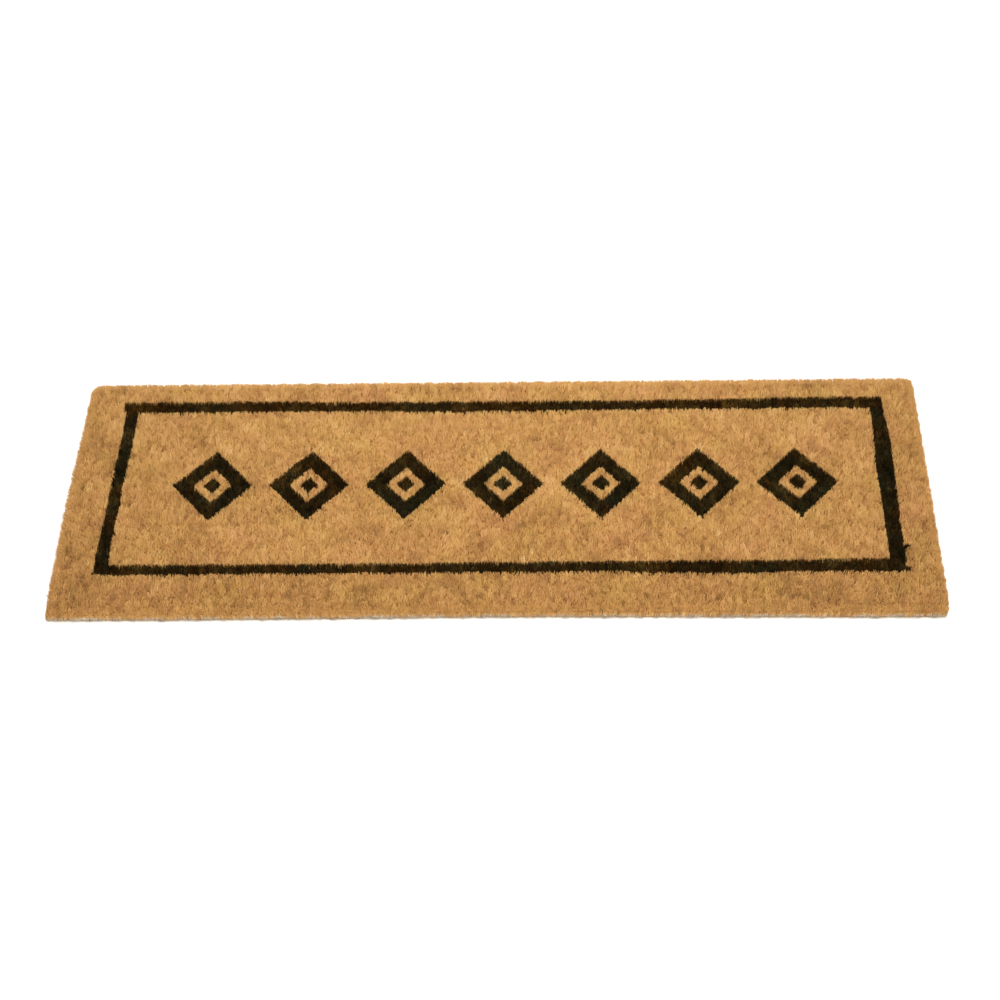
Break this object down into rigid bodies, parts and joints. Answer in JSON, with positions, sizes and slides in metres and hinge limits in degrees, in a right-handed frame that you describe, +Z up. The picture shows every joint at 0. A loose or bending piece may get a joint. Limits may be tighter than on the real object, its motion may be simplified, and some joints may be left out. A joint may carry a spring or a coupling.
{
  "type": "door mat",
  "caption": "Long rectangular coir door mat: natural brush pile in a vinyl backing, with an inlaid black border line and a row of black lozenges.",
  "frame": {"origin": "middle of the underside, on the surface that the mat lies on", "axes": "+X along the length of the mat, +Y from the front edge to the back edge, +Z up out of the pile"},
  "size_m": [1.2, 0.4, 0.017],
  "materials": {
    "vinyl": "satin soft vinyl, finely ribbed underneath",
    "natural_coir": "dry, rough brush pile of golden-brown coconut fibre",
    "black_coir": "dry, rough brush pile of coconut fibre dyed black"
  },
  "bodies": {
    "root": {"vinyl_backing": "vinyl", "margin_pile_front": "natural_coir", "margin_pile_back": "natural_coir", "margin_pile_left": "natural_coir", "margin_pile_right": "natural_coir", "border_line_front": "black_coir", "border_line_back": "black_coir", "border_line_left": "black_coir", "border_line_right": "black_coir", "field_pile": "natural_coir", "lozenge_1": "black_coir", "lozenge_2": "black_coir", "lozenge_3": "black_coir", "lozenge_4": "black_coir", "lozenge_5": "black_coir", "lozenge_6": "black_coir", "lozenge_7": "black_coir", "lozenge_inset_1": "natural_coir", "lozenge_inset_2": "natural_coir", "lozenge_inset_3": "natural_coir", "lozenge_inset_4": "natural_coir", "lozenge_inset_5": "natural_coir", "lozenge_inset_6": "natural_coir", "lozenge_inset_7": "natural_coir", "lozenge_centre_1": "black_coir", "lozenge_centre_2": "black_coir", "lozenge_centre_3": "black_coir", "lozenge_centre_4": "black_coir", "lozenge_centre_5": "black_coir", "lozenge_centre_6": "black_coir", "lozenge_centre_7": "black_coir"}
  },
  "joints": []
}
